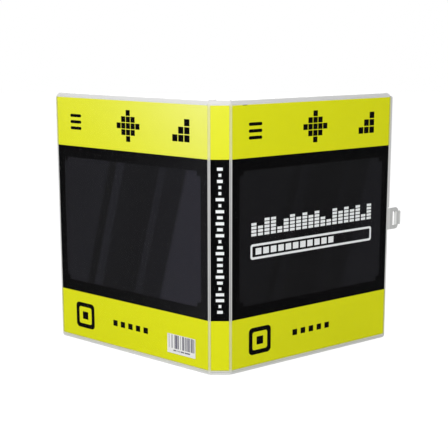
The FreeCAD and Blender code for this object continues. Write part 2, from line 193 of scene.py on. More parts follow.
class PrintSettings(bpy.types.PropertyGroup):
    """Inks and main sizes of the printed cards."""
    field: colour_setting("Field", "Ink of the upper and lower fields", (0.81, 0.832, 0.013))
    ink: colour_setting("Ink", "Ink of the band and the marks", (0.001, 0.001, 0.0012))
    # Painted sheen: paler inks laid over the fields and the band where light glances off the cards
    field_sheen: colour_setting("Field Sheen", "The fields' ink where light has faded it",
                                (0.87, 0.89, 0.21))
    band_sheen: colour_setting("Band Sheen", "The band's ink where light has faded it",
                              (0.0105, 0.0105, 0.0118))
    window: colour_setting("Window", "Darkest ink of the window on the band", (0.0075, 0.0075, 0.008))
    glare: colour_setting("Glare", "Lightest ink of the window's slanted glare", (0.026, 0.0255, 0.033))
    light: colour_setting("Light", "Pale ink of the blocks on the band", (0.93, 0.95, 0.96))
    stock: colour_setting("Stock", "Unprinted card", (0.80, 0.80, 0.78))
    bars: colour_setting("Bars", "Ink of the bars on the label", (0.13, 0.125, 0.17))
    band_bottom: length_setting("Band Bottom", "Height of the band's lower edge", 0.0470)
    band_top: length_setting("Band Top", "Height of the band's upper edge", 0.1825)
    window_width: length_setting("Window Width", "Width of the window on the band", 0.1634)
    window_height: length_setting("Window Height", "Height of the window on the band", 0.1150)
    window_step: length_setting("Window Step", "Step cut out of each corner of the window", 0.0040)
    glare_lean: length_setting("Glare Lean", "How far the glare leans over the window's height", 0.0320)
    # How much painted sheen the back card gets at its fore edge and at the hinge, and how much the spine's
    # card gets
    fore_sheen: share_setting("Fore Sheen", "How far the back card has faded at its fore edge", 0.15)
    hinge_sheen: share_setting("Hinge Sheen", "How far the back card has faded at the hinge", 1.0)
    spine_sheen: share_setting("Spine Sheen", "How far the spine's card has faded", 0.2)
    front_glare: share_setting("Front Glare", "How much of the glare is printed on the front card", 0.28)
    card_roughness: share_setting("Card Roughness", "Roughness of the printed cards", 0.6)


class FinishSettings(bpy.types.PropertyGroup):
    """Colours and gloss of the plastics, the films and the paper."""
    shell: colour_setting("Shell", "Frosted plastic of the covers and the spine", (0.70, 0.702, 0.695))
    clasp: colour_setting("Clasp", "Thin plastic of the clasp", (0.555, 0.56, 0.555))
    # Painted highlight on the ramp beside the clasp's slot
    clasp_ramp_highlight: colour_setting("Clasp Ramp Highlight", "The clasp's plastic where the slot's ramp thins it",
                               (0.76, 0.765, 0.76))
    crease: colour_setting("Crease", "Stress-whitened middle of the living hinges", (0.67, 0.67, 0.65))
    # Painted light and shade that the print throws into the clear plastic beside it: yellow beside the
    # fields, shade beside the black band
    field_bounce_light: colour_setting("Field Bounce Light", "Tint that the fields give the clear plastic beside them",
                                (1.0, 1.0, 0.45))
    band_shade: colour_setting("Band Shade", "Tint that the band gives the hinges beside it",
                               (0.56, 0.56, 0.57))
    ring: colour_setting("Ring", "Satin plastic of the ring fixture", (0.74, 0.74, 0.73))
    film: colour_setting("Film", "Tint of the clear sleeves", (0.01, 0.01, 0.01))
    weld: colour_setting("Weld", "Milky film along the sleeves' welded border", (0.695, 0.695, 0.685))
    page: colour_setting("Page", "Tint of the pocket pages", (0.90, 0.905, 0.91))
    paper: colour_setting("Paper", "Label paper", (0.82, 0.82, 0.83))
    film_cover: share_setting("Film Cover", "How much the clear sleeves cover", 0.022)
    page_cover: share_setting("Page Cover", "How much each pocket film covers", 0.30)
    lane_cover: share_setting("Lane Cover", "How much a page covers along its welds", 0.60)
    shell_roughness: share_setting("Shell Roughness", "Roughness of the frosted plastic", 0.42)
    ring_roughness: share_setting("Ring Roughness", "Roughness of the ring fixture's satin plastic", 0.3)
    web_segments: IntProperty(name="Web Segments", description="Segments across each living hinge",
                              min=4, max=48, default=16)


class StageSettings(bpy.types.PropertyGroup):
    """Light and camera."""
    ambient: FloatProperty(name="Ambient", description="Strength of the even light all round",
                           min=0.0, default=0.42)
    key_power: FloatProperty(name="Key", description="Power of the main softbox", subtype="POWER",
                             min=0.0, default=9.4)
    back_power: FloatProperty(name="Back", description="Power of the softbox behind the case",
                              subtype="POWER", min=0.0, default=6.0)
    lens: FloatProperty(name="Lens", description="Focal length", unit="CAMERA", min=1.0, default=81.063)
    camera_distance: length_setting("Camera Distance", "From the camera to its target", 0.8268)
    camera_azimuth: FloatProperty(name="Camera Azimuth", description="Turn of the camera round the case",
                                  subtype="ANGLE", default=math.radians(-0.505))
    camera_elevation: FloatProperty(name="Camera Elevation", description="Camera above the horizon",
                                    subtype="ANGLE", default=math.radians(10.779))
    camera_target: FloatVectorProperty(name="Camera Target", description="What the camera looks at",
                                       subtype="XYZ", unit="LENGTH", size=3,
                                       default=(0.003368, 0.0, 0.129367))


# Node graphs

class Graph:
    """Adds nodes to one node tree. Inputs take plain values or the outputs of other nodes."""

    def __init__(self, tree):
        self.tree = tree

    def feed(self, socket, value):
        """Links an output to a socket, or sets the socket to a plain value."""
        if isinstance(value, bpy.types.NodeSocket):
            self.tree.links.new(value, socket)
        else:
            socket.default_value = value

    def add(self, kind, inputs=None, **settings):
        """A node with its settings, and its inputs by name."""
        node = self.tree.nodes.new(kind)
        for name, setting in settings.items():
            setattr(node, name, setting)
        for name, value in (inputs or {}).items():
            self.feed(node.inputs[name], value)
        return node

    def math(self, operation, *values, clamp=False):
        """The result of a Math node."""
        node = self.add("ShaderNodeMath", operation=operation, use_clamp=clamp)
        for socket, value in zip(node.inputs, values):
            self.feed(socket, value)
        return node.outputs[0]

    def vector(self, operation, *values):
        """The result of a Vector Math node."""
        node = self.add("ShaderNodeVectorMath", operation=operation)
        for socket, value in zip(node.inputs, values):
            self.feed(socket, value)
        return node.outputs["Value" if operation in ("LENGTH", "DISTANCE", "DOT_PRODUCT") else "Vector"]

    def pair(self, x, y):
        """A flat point."""
        return self.add("ShaderNodeCombineXYZ", {"X": x, "Y": y}).outputs[0]

    def parts(self, vector):
        """X, Y and Z of a vector."""
        return self.add("ShaderNodeSeparateXYZ", {"Vector": vector}).outputs

    def over(self, base, mask, top):
        """A colour with another laid over it where the mask is 1."""
        node = self.add("ShaderNodeMix", data_type="RGBA")
        factor, under, above = node.inputs[0], node.inputs[6], node.inputs[7]
        for socket, value in ((factor, mask), (under, opaque(base)), (above, opaque(top))):
            self.feed(socket, value)
        return node.outputs[2]

    def shade(self, colour, tone):
        """A colour multiplied by a tone about 1, or by a tint."""
        node = self.add("ShaderNodeMix", data_type="RGBA", blend_type="MULTIPLY")
        factor, under, above = node.inputs[0], node.inputs[6], node.inputs[7]
        for socket, value in ((factor, 1.0), (under, opaque(colour)), (above, tone)):
            self.feed(socket, value)
        return node.outputs[2]

    def noise(self, vector, scale, detail=2.0):
        """Smooth noise from 0 to 1."""
        node = self.add("ShaderNodeTexNoise", {"Vector": vector, "Scale": scale, "Detail": detail})
        return node.outputs[0]

    def dice(self, number):
        """An even random value from 0 to 1 for each whole number."""
        return self.add("ShaderNodeTexWhiteNoise", {"W": number}, noise_dimensions="1D").outputs["Value"]

    def use(self, group, **inputs):
        """The outputs of a node group, its inputs given by name with _ for spaces."""
        node = self.add("ShaderNodeGroup", node_tree=group)
        for name, value in inputs.items():
            self.feed(node.inputs[name.replace("_", " ")], value)
        return node.outputs

    def bump(self, height, strength, distance):
        """A normal from a height, in metres of distance."""
        return self.add("ShaderNodeBump", {"Height": height, "Strength": strength,
                                           "Distance": distance}).outputs[0]


def opaque(colour):
    """A plain colour with its alpha; anything else as it is."""
    return colour if isinstance(colour, bpy.types.NodeSocket) else (*colour[:3], 1.0)


def new_group(name, takes, gives):
    """A shader node group: its graph, the outputs of its entry and the inputs of its exit."""
    tree = bpy.data.node_groups.new(name, "ShaderNodeTree")
    for label, kind in takes:
        tree.interface.new_socket(name=label, in_out="INPUT", socket_type=kind)
    for label, kind in gives:
        tree.interface.new_socket(name=label, in_out="OUTPUT", socket_type=kind)
    return Graph(tree), tree.nodes.new("NodeGroupInput").outputs, tree.nodes.new("NodeGroupOutput").inputs


def shared(name, build):
    """A node group by name, built the first time it is asked for."""
    return bpy.data.node_groups.get(name) or build(name)


def rounded_field():
    """Group: mask of a rounded rectangle, in the units of its point."""
    def build(name):
        graph, take, give = new_group(name, [("Point", VECTOR), ("Centre", VECTOR), ("Half Size", VECTOR),
                                             ("Corner", FLOAT)], [("Mask", FLOAT)])
        half = graph.vector("ADD", take["Half Size"], (0.0, 0.0, OUT_OF_PLANE))
        core = graph.vector("SUBTRACT", half, take["Corner"])
        offset = graph.vector("ABSOLUTE", graph.vector("SUBTRACT", take["Point"], take["Centre"]))
        past = graph.vector("MAXIMUM", graph.vector("SUBTRACT", offset, core), (0.0, 0.0, 0.0))
        depth = graph.math("SUBTRACT", take["Corner"], graph.vector("LENGTH", past))
        graph.feed(give["Mask"], graph.math("MULTIPLY_ADD", depth, 1.0 / INK_EDGE, 0.5, clamp=True))
        return graph.tree
    return shared("rounded_field", build)


def block_grid():
    """Group: mask of equal blocks in rows and columns from a lower left corner, and each block's number."""
    def build(name):
        graph, take, give = new_group(name, [("Point", VECTOR), ("Corner", VECTOR), ("Pitch", VECTOR),
                                             ("Count", VECTOR), ("Half Block", VECTOR)],
                                      [("Mask", FLOAT), ("Column", FLOAT), ("Row", FLOAT)])
        from_corner = graph.vector("SUBTRACT", take["Point"], take["Corner"])
        steps = graph.vector("DIVIDE", from_corner, take["Pitch"])
        number = graph.parts(graph.vector("FLOOR", steps))
        from_middle = graph.vector("SUBTRACT", graph.vector("FRACTION", steps), (0.5, 0.5, 0.0))
        block = graph.use(rounded_field(), Point=graph.vector("MULTIPLY", from_middle, take["Pitch"]),
                          Half_Size=take["Half Block"], Corner=SHARP_CORNER)
        reach = graph.vector("SCALE", graph.vector("MULTIPLY", take["Pitch"], take["Count"]))
        reach.node.inputs["Scale"].default_value = 0.5
        whole = graph.use(rounded_field(), Point=take["Point"], Half_Size=reach, Corner=SHARP_CORNER,
                          Centre=graph.vector("ADD", take["Corner"], reach))
        graph.feed(give["Mask"], graph.math("MULTIPLY", block["Mask"], whole["Mask"]))
        graph.feed(give["Column"], number["X"])
        graph.feed(give["Row"], number["Y"])
        return graph.tree
    return shared("block_grid", build)


def slanted_glare():
    """Group: slanted bands of faint light across a window, as a value from 0 to 1."""
    def build(name):
        graph, take, give = new_group(name, [("Point", VECTOR), ("Left", FLOAT), ("Width", FLOAT),
                                             ("Middle", FLOAT), ("Lean", FLOAT)], [("Value", FLOAT)])
        point = graph.parts(take["Point"])
        lean = graph.math("MULTIPLY", graph.math("SUBTRACT", point["Y"], take["Middle"]), take["Lean"])
        along = graph.math("SUBTRACT", graph.math("SUBTRACT", point["X"], take["Left"]), lean)
        ramp = graph.add("ShaderNodeValToRGB", {"Fac": graph.math("DIVIDE", along, take["Width"])})
        stops = ramp.color_ramp.elements
        for position, _ in GLARE_BANDS[1:-1]:
            stops.new(position)
        for stop, (position, level) in zip(stops, GLARE_BANDS):
            stop.position = position
            stop.color = (level, level, level, 1.0)
        graph.feed(give["Value"], ramp.outputs["Color"])
        return graph.tree
    return shared("slanted_glare", build)


def fine_grain():
    """Group: the grain of a moulded, printed or pressed surface: a tone about 1 and a height."""
    def build(name):
        graph, take, give = new_group(name, [("Point", VECTOR), ("Grain", FLOAT), ("Mottle", FLOAT),
                                             ("Amount", FLOAT)], [("Tone", FLOAT), ("Height", FLOAT)])
        grain = graph.noise(take["Point"], take["Grain"], detail=3.0)
        mottle = graph.noise(take["Point"], take["Mottle"], detail=2.0)
        both = graph.math("SUBTRACT", graph.math("ADD", grain, mottle), 1.0)
        graph.feed(give["Tone"], graph.math("MULTIPLY_ADD", both, take["Amount"], 1.0))
        graph.feed(give["Height"], grain)
        return graph.tree
    return shared("fine_grain", build)


def slack_film():
    """Group: the slack of a thin film: broad soft waves and a little dust haze."""
    def build(name):
        graph, take, give = new_group(name, [("Point", VECTOR), ("Wave", FLOAT)],
                                      [("Height", FLOAT), ("Haze", FLOAT)])
        stretched = graph.vector("MULTIPLY", take["Point"], WAVE_STRETCH)
        graph.feed(give["Height"], graph.noise(stretched, take["Wave"], detail=1.0))
        graph.feed(give["Haze"], graph.noise(take["Point"], HAZE_SCALE, detail=4.0))
        return graph.tree
    return shared("slack_film", build)


# Materials

def new_finish(name, **values):
    """A material, its graph and its shader, with the shader's plain values given by input name."""
    material = bpy.data.materials.new(name)
    material.use_nodes = True
    graph = Graph(material.node_tree)
    shader = material.node_tree.nodes["Principled BSDF"]
    for label, value in values.items():
        shader.inputs[label.replace("_", " ")].default_value = value
    return material, graph, shader.inputs


def object_point(graph):
    """A point in the case's own frame, in metres."""
    return graph.add("ShaderNodeTexCoord").outputs["Object"]


def panel_point(graph, node, turn):
    """A point on a node laid flat, in millimetres: X from its left edge, Y from its outer face, Z up."""
    low, _ = laid_flat(node, turn)
    place = graph.add("ShaderNodeMapping", {"Vector": object_point(graph), "Location": (-low.x, -low.y, 0.0),
                                            "Rotation": (0.0, 0.0, turn), "Scale": (MM, MM, MM)})
    return graph.parts(place.outputs[0])


def lay_grain(graph, shader, colour, grain, mottle, amount, relief):
    """Gives a shader a colour and a normal with a fine grain, and returns the grain's tone."""
    texture = graph.use(fine_grain(), Point=object_point(graph), Grain=grain, Mottle=mottle, Amount=amount)
    graph.feed(shader["Base Color"], graph.shade(colour, texture["Tone"]))
    graph.feed(shader["Normal"], graph.bump(texture["Height"], *relief))
    return texture["Tone"]


def lay_slack(graph, shader, wave, haze, roughness, relief):
    """Gives a film's shader its haze, as roughness, and its broad waves, as a normal."""
    slack = graph.use(slack_film(), Point=object_point(graph), Wave=wave)
    graph.feed(shader["Roughness"], graph.math("MULTIPLY_ADD", slack["Haze"], haze, roughness))
    graph.feed(shader["Normal"], graph.bump(slack["Height"], *relief))


def moulded(name, colour, roughness, grain):
    """Frosted or satin moulded plastic."""
    material, graph, shader = new_finish(name, Specular_IOR_Level=PLASTIC_GLOSS)
    tone = lay_grain(graph, shader, colour, **grain)
    graph.feed(shader["Roughness"], graph.math("MULTIPLY", tone, roughness))
    return material


def beyond(graph, value, low, high):
    """0 inside a range and 1 outside it, with a soft change."""
    off_middle = graph.math("ABSOLUTE", graph.math("SUBTRACT", value, (low + high) / 2))
    past_end = graph.math("SUBTRACT", off_middle, (high - low) / 2)
    return graph.math("MULTIPLY_ADD", past_end, 1.0 / BLEED_EDGE, 0.5, clamp=True)


def painted_print_light(graph, height, settings, band_shade_colour, field_light_colour):
    """Painted light and shade that the print throws into the plastic beside it, at a height in millimetres:
    none past the ends of the cards.
    """
    card_low, card_high = laid_flat("spine_card", TURN["spine"])
    past_band = beyond(graph, height, settings.band_bottom * MM, settings.band_top * MM)
    print_light_and_shade = graph.over(band_shade_colour, past_band, field_light_colour)
    return graph.over(print_light_and_shade, beyond(graph, height, card_low.z, card_high.z), NO_TINT)


def whitened_web(name, finish, settings=None):
    """Moulded plastic worked thin, paler towards the middle of the fold, where X of its UV map is 0.5.

    Print settings are given for a web that runs along the cards and gets painted light and shade from their
    print on its outer face.
    """
    material, graph, shader = new_finish(name, Specular_IOR_Level=PLASTIC_GLOSS)
    across = graph.parts(graph.add("ShaderNodeUVMap", uv_map="across").outputs[0])
    print_light = WHITE
    if settings:
        # Painted light from the fields and painted shade beside the band, on the outer face only
        height = graph.math("MULTIPLY", graph.parts(object_point(graph))["Z"], MM)
        beside = painted_print_light(graph, height, settings, finish.band_shade, finish.field_bounce_light)
        print_light = graph.over(NO_TINT, across["Y"], beside)
    off_middle = graph.math("ABSOLUTE", graph.math("SUBTRACT", across["X"], 0.5))
    pale = graph.math("MULTIPLY_ADD", off_middle, -CREASE_FALL, 1.0, clamp=True)
    plastic = graph.shade(graph.over(finish.shell, pale, finish.crease), print_light)
    tone = lay_grain(graph, shader, plastic, **WEB_GRAIN)
    graph.feed(shader["Roughness"], graph.math("MULTIPLY", tone, finish.shell_roughness))
    return material


def highlighted_clasp(name, finish):
    """The clasp's plastic, with a painted highlight on the ramp beside its slot."""
    material, graph, shader = new_finish(name, Specular_IOR_Level=PLASTIC_GLOSS,
                                         Roughness=finish.shell_roughness)
    place = panel_point(graph, "clasp_flap", TURN["front"])
    low, high = laid_flat("clasp_flap", TURN["front"])
    middle = (low.z + high.z) / 2
    # Mask of the painted highlight on the ramp
    ramp = field(graph, graph.pair(place["X"], place["Z"]), *CLASP_RAMP, middle - CLASP_RAMP_HALF,
                 middle + CLASP_RAMP_HALF, corner=CLASP_RAMP_ROUND)
    lay_grain(graph, shader, graph.over(finish.clasp, ramp, finish.clasp_ramp_highlight), **SHELL_GRAIN)
    return material


def union(graph, masks):
    """One mask that is 1 wherever any of these is."""
    whole = masks[0]
    for mask in masks[1:]:
        whole = graph.math("MAXIMUM", whole, mask)
    return whole


def centred(graph, point, x, z, width, height, corner=SHARP_CORNER):
    """Mask of a rounded rectangle about its middle, in millimetres."""
    return graph.use(rounded_field(), Point=point, Corner=corner, Centre=(x, z, 0.0),
                     Half_Size=(width / 2, height / 2, 0.0))["Mask"]


def field(graph, point, x0, x1, z0, z1, corner=SHARP_CORNER):
    """Mask of a rounded rectangle between two corners, in millimetres."""
    return centred(graph, point, (x0 + x1) / 2, (z0 + z1) / 2, x1 - x0, z1 - z0, corner)


def framed(graph, outside, inside, filling):
    """Mask of a frame and of what stands in it."""
    return graph.math("MAXIMUM", graph.math("SUBTRACT", outside, inside), filling)


def blocks(graph, point, x, z, columns, rows, pitch, size):
    """Outputs of a block grid centred at x, z; pitch and size are each (width, height), in millimetres."""
    corner = (x - columns * pitch[0] / 2, z - rows * pitch[1] / 2, 0.0)
    return graph.use(block_grid(), Point=point, Corner=corner, Pitch=(*pitch, 1.0),
                     Count=(columns, rows, 0.0), Half_Block=(size[0] / 2, size[1] / 2, 0.0))


def stacked_lines(graph, point, x, z):
    """Three short lines, one above the other."""
    length, thickness, pitch, corner = 14.0, 2.8, 5.6, 1.3
    return union(graph, [centred(graph, point, x, z + line * pitch, length, thickness, corner)
                         for line in (-1, 0, 1)])


def block_diamond(graph, point, x, z):
    """A diamond built of square blocks."""
    count, pitch, block = 5, 5.6, 5.0
    middle = (count - 1) / 2
    grid = blocks(graph, point, x, z, count, count, (pitch, pitch), (block, block))
    sideways = graph.math("ABSOLUTE", graph.math("SUBTRACT", grid["Column"], middle))
    upwards = graph.math("ABSOLUTE", graph.math("SUBTRACT", grid["Row"], middle))
    inside = graph.math("LESS_THAN", graph.math("ADD", sideways, upwards), middle + 0.5)
    return graph.math("MULTIPLY", grid["Mask"], inside)


def block_stairs(graph, point, x, z):
    """Columns of square blocks that rise to the right."""
    count, pitch, block = 3, 6.6, 5.8
    grid = blocks(graph, point, x, z, count, count, (pitch, pitch), (block, block))
    inside = graph.math("LESS_THAN", grid["Row"], graph.math("ADD", grid["Column"], 0.5))
    return graph.math("MULTIPLY", grid["Mask"], inside)


def square_ring(graph, point, x, z):
    """A rounded square outline with a block in its middle."""
    outer, inner, block = 24.0, 16.0, 7.2
    outside = centred(graph, point, x, z, outer, outer, corner=4.0)
    inside = centred(graph, point, x, z, inner, inner, corner=2.0)
    return framed(graph, outside, inside, centred(graph, point, x, z, block, block))


def block_row(graph, point, x, z):
    """A row of small square blocks."""
    count, pitch, block = 5, 9.4, 5.4
    return blocks(graph, point, x, z, count, 1, (pitch, pitch), (block, block))["Mask"]


def level_meter(graph, point, x, z):
    """Columns of lit blocks of uneven height, as on a sound meter."""
    columns, rows, pitch, block = 20, 5, (7.0, 3.0), (5.4, 2.3)
    lowest, spread = 1.4, 4.2
    grid = blocks(graph, point, x, z, columns, rows, pitch, block)
    height = graph.math("MULTIPLY_ADD", graph.dice(grid["Column"]), spread, lowest)
    return graph.math("MULTIPLY", grid["Mask"], graph.math("LESS_THAN", grid["Row"], height))


def progress_bar(graph, point, x, z):
    """An outlined bar with some of its blocks filled in."""
    width, height, wall = 140.0, 13.2, 2.0
    count, filled_count, pitch, block = 16, 11, (8.2, 8.0), (6.2, 5.6)
    outside = centred(graph, point, x, z, width, height, corner=2.4)
    inside = centred(graph, point, x, z, width - 2 * wall, height - 2 * wall, corner=1.0)
    grid = blocks(graph, point, x, z, count, 1, pitch, block)
    is_filled = graph.math("LESS_THAN", grid["Column"], filled_count - 0.5)
    return framed(graph, outside, inside, graph.math("MULTIPLY", grid["Mask"], is_filled))


def level_column(graph, point, x, z):
    """A tall column of lit blocks of uneven width."""
    rows, pitch, block = 25, (10.0, 5.0), (7.0, 2.6)
    widths, narrowest, widening = 3.0, 1.2, 1.15
    grid = blocks(graph, point, x, z, 1, rows, pitch, block)
    step = graph.math("FLOOR", graph.math("MULTIPLY", graph.dice(grid["Row"]), widths))
    half_width = graph.math("MULTIPLY_ADD", step, widening, narrowest)
    off_middle = graph.math("ABSOLUTE", graph.math("SUBTRACT", graph.parts(point)["X"], x))
    return graph.math("MULTIPLY", grid["Mask"], graph.math("LESS_THAN", off_middle, half_width))


def printed_card(name, node, turn, settings, draw):
    """A printed card: draw lays the ink of one card over the field and returns its colour."""
    material, graph, shader = new_finish(name, Specular_IOR_Level=0.012, Coat_Roughness=0.24,
                                         Coat_Weight=0.02)
    place = panel_point(graph, node, turn)
    point = graph.pair(place["X"], place["Z"])
    low, high = laid_flat(node, turn)
    ink = draw(graph, point, high.x - low.x, settings)
    printed = graph.math("LESS_THAN", place["Y"], PRINT_DEPTH)
    tone = lay_grain(graph, shader, graph.over(settings.stock, printed, ink), **CARD_GRAIN)
    graph.feed(shader["Roughness"], graph.math("MULTIPLY", tone, settings.card_roughness))
    return material


def banded_field(graph, point, width, settings, painted_sheen=None):
    """The field's ink with the band across it.

    Where a sheen is given as a share for the left and the right edge, paler inks are laid over the card by
    those shares as painted sheen: the fields most at the top, the band alike at every height.
    """
    band = field(graph, point, -width, 2 * width, settings.band_bottom * MM, settings.band_top * MM)
    field_ink, band_ink = settings.field, settings.ink
    # Painted sheen: paler inks laid over the fields and the band
    if painted_sheen:
        left, right = painted_sheen
        place = graph.parts(point)
        across, upwards = (
            graph.math("POWER", graph.math("DIVIDE", place[axis], full, clamp=True), power)
            for axis, full, power in (("X", width, SHEEN_ACROSS), ("Y", CAD_HIGH.z * MM, SHEEN_UPWARDS)))
        share = graph.math("MULTIPLY", graph.math("MULTIPLY_ADD", across, right - left, left), upwards)
        field_ink = graph.over(field_ink, share, settings.field_sheen)
        band_ink = graph.over(band_ink, graph.math("MULTIPLY", across, right), settings.band_sheen)
    return graph.over(field_ink, band, band_ink)


def cover_ink(graph, point, width, settings, glare_share=1.0, painted_sheen=None):
    """Ink of a cover's card: band, window with glare, and block marks above and below."""
    middle_x = width / 2
    middle_z = (settings.band_bottom + settings.band_top) / 2 * MM
    half_x, half_z, step = (size * MM for size in (settings.window_width / 2, settings.window_height / 2,
                                                   settings.window_step))
    window = union(graph, [
        field(graph, point, middle_x - wide, middle_x + wide, middle_z - tall, middle_z + tall)
        for wide, tall in ((half_x, half_z - step), (half_x - step, half_z))])
    glare = graph.use(slanted_glare(), Point=point, Left=middle_x - half_x, Width=2 * half_x,
                      Middle=middle_z, Lean=settings.glare_lean / settings.window_height)["Value"]
    glass = graph.over(settings.window, graph.math("MULTIPLY", glare, glare_share), settings.glare)
    lines_x, stairs_x, ring_x, row_x = 24.0, 150.0, 30.0, 88.0
    marks = union(graph, [draw(graph, point, x, z) for draw, x, z in (
        (stacked_lines, lines_x, UPPER_MARKS), (block_diamond, middle_x, UPPER_MARKS),
        (block_stairs, stairs_x, UPPER_MARKS), (square_ring, ring_x, LOWER_MARKS),
        (block_row, row_x, LOWER_MARKS))])
    ink = graph.over(banded_field(graph, point, width, settings, painted_sheen), window, glass)
    return graph.over(ink, marks, settings.ink)


def back_ink(graph, point, width, settings):
    """Ink of the back card: the cover's, with painted sheen that grows towards the hinge."""
    return cover_ink(graph, point, width, settings, painted_sheen=(settings.fore_sheen, settings.hinge_sheen))


def edge_shadow(graph, point):
    """A painted shadow on a short stretch of the front card's upper edge, near the hinge."""
    top = laid_flat("front_card", TURN["front"])[1].z
    return field(graph, point, EDGE_SHADOW_FROM_HINGE - EDGE_SHADOW_WIDTH / 2, EDGE_SHADOW_FROM_HINGE + EDGE_SHADOW_WIDTH / 2,
                 top - EDGE_SHADOW_DEPTH, top + EDGE_SHADOW_DEPTH, corner=EDGE_SHADOW_DEPTH)


def front_ink(graph, point, width, settings):
    """Ink of the front card: the cover's, with lit blocks in its window and a painted shadow at its upper
    edge.
    """
    lit = union(graph, [level_meter(graph, point, width / 2, METER_HEIGHT),
                        progress_bar(graph, point, width / 2, PROGRESS_HEIGHT)])
    cover = cover_ink(graph, point, width, settings, settings.front_glare)
    # The painted shadow at the upper edge takes the band's ink
    return graph.over(graph.over(cover, lit, settings.light), edge_shadow(graph, point), settings.ink)


def spine_ink(graph, point, width, settings):
    """Ink of the spine's card: the band, with a column of lit blocks, under a faint painted sheen."""
    middle_z = (settings.band_bottom + settings.band_top) / 2 * MM
    lit = level_column(graph, point, width / 2, middle_z)
    card = banded_field(graph, point, width, settings, (settings.spine_sheen, settings.spine_sheen))
    return graph.over(card, lit, settings.light)


def random_bars(graph, place, steps, share, box):
    """Upright bars in a random share of the equal steps across a box, steps to the millimetre."""
    number = graph.math("FLOOR", graph.math("MULTIPLY", place["X"], steps))
    bars = graph.math("LESS_THAN", graph.dice(number), share)
    return graph.math("MULTIPLY", bars, field(graph, graph.pair(place["X"], place["Z"]), *box))


def label_paper(name, colour, ink):
    """Label paper with a field of uneven bars and a broken line below them."""
    material, graph, shader = new_finish(name, Specular_IOR_Level=0.2, Roughness=0.6)
    place = panel_point(graph, "price_label", TURN["back"])
    low, high = laid_flat("price_label", TURN["back"])
    width, bottom, top = high.x - low.x, low.z, high.z
    side, foot, head = 1.2, 4.6, 0.5
    dash_left, dash_right, dash_low, dash_high = 7.0, 6.0, 2.2, 3.4
    bars = random_bars(graph, place, steps=2.2, share=0.42,
                       box=(side, width - side, bottom + foot, top - head))
    dashes = random_bars(graph, place, steps=1.3, share=0.72,
                         box=(dash_left, width - dash_right, bottom + dash_low, bottom + dash_high))
    lay_grain(graph, shader, graph.over(colour, graph.math("MAXIMUM", bars, dashes), ink), **PAPER_GRAIN)
    return material


def clear_sleeve(name, side, finish, settings):
    """Clear film over a card, milky where it is welded to the panel round the card; open at the top."""
    material, graph, shader = new_finish(name, Specular_IOR_Level=0.5)
    node = side + "_sleeve"
    place = panel_point(graph, node, TURN[side])
    low, high = laid_flat(node, TURN[side])
    card_low, card_high = laid_flat(side + "_card", TURN[side])
    clear = field(graph, graph.pair(place["X"], place["Z"]), card_low.x - low.x - WELD_CREEP,
                  card_high.x - low.x + WELD_CREEP, card_low.z - WELD_CREEP, 2 * high.z)
    # The weld beside the card gets painted yellow light from the fields
    print_light = painted_print_light(graph, place["Z"], settings, NO_TINT, finish.field_bounce_light)
    weld = graph.shade(finish.weld, print_light)
    graph.feed(shader["Base Color"], graph.over(weld, clear, finish.film))
    graph.feed(shader["Alpha"], graph.math("MULTIPLY_ADD", clear, finish.film_cover - 1.0, 1.0))
    lay_slack(graph, shader, **SLEEVE_SLACK)
    return material


def pocket_film(name, node, finish):
    """Soft clear film of a pocket page, milky along the welds between its pockets."""
    material, graph, shader = new_finish(name, Specular_IOR_Level=0.6, Base_Color=opaque(finish.page))
    place = panel_point(graph, node, TURN["back"])
    low, high = laid_flat(node, TURN["back"])
    columns, rows = POCKETS
    pitch = ((high.x - low.x - BINDING_STRIP) / columns, (high.z - low.z - POCKET_LANE) / rows)
    size = [step - POCKET_LANE for step in pitch]
    pocket = blocks(graph, graph.pair(place["X"], place["Z"]), (columns * pitch[0] + POCKET_LANE) / 2,
                    (low.z + high.z) / 2, columns, rows, pitch, size)["Mask"]
    clearer = finish.page_cover - finish.lane_cover
    graph.feed(shader["Alpha"], graph.math("MULTIPLY_ADD", pocket, clearer, finish.lane_cover))
    lay_slack(graph, shader, **PAGE_SLACK)
    return material


def dress(nodes, material):
    """Gives CAD nodes a material."""
    for name in nodes:
        for slot in NODES[name].material_slots:
            slot.material = material


# Meshes

def new_piece(name, bm, material):
    """An object at the origin from a bmesh, with a material."""
    bmesh.ops.recalc_face_normals(bm, faces=bm.faces)
    mesh = bpy.data.meshes.new(name)
    bm.to_mesh(mesh)
    bm.free()
    piece = bpy.data.objects.new(name, mesh)
    bpy.context.scene.collection.objects.link(piece)
    mesh.materials.append(material)
    return piece


def raise_section(bm, top):
    """Extrudes a flat section up to a height."""
    bottom = bm.verts[:][0].co.z
    raised = bmesh.ops.extrude_face_region(bm, geom=bm.faces[:])["geom"]
    lifted = [item for item in raised if isinstance(item, bmesh.types.BMVert)]
    bmesh.ops.translate(bm, verts=lifted, vec=(0.0, 0.0, top - bottom))


def map_across(bm, start, end, is_outer):
    """A UV map named across: X runs from 0 at start to 1 at end, Y is 1 on the outer face and 0 inside."""
    layer = bm.loops.layers.uv.new("across")
    run = end - start
    for face in bm.faces:
        for loop in face.loops:
            place = loop.vert.co
            loop[layer].uv = ((place - start).dot(run) / run.length_squared, float(is_outer(place)))


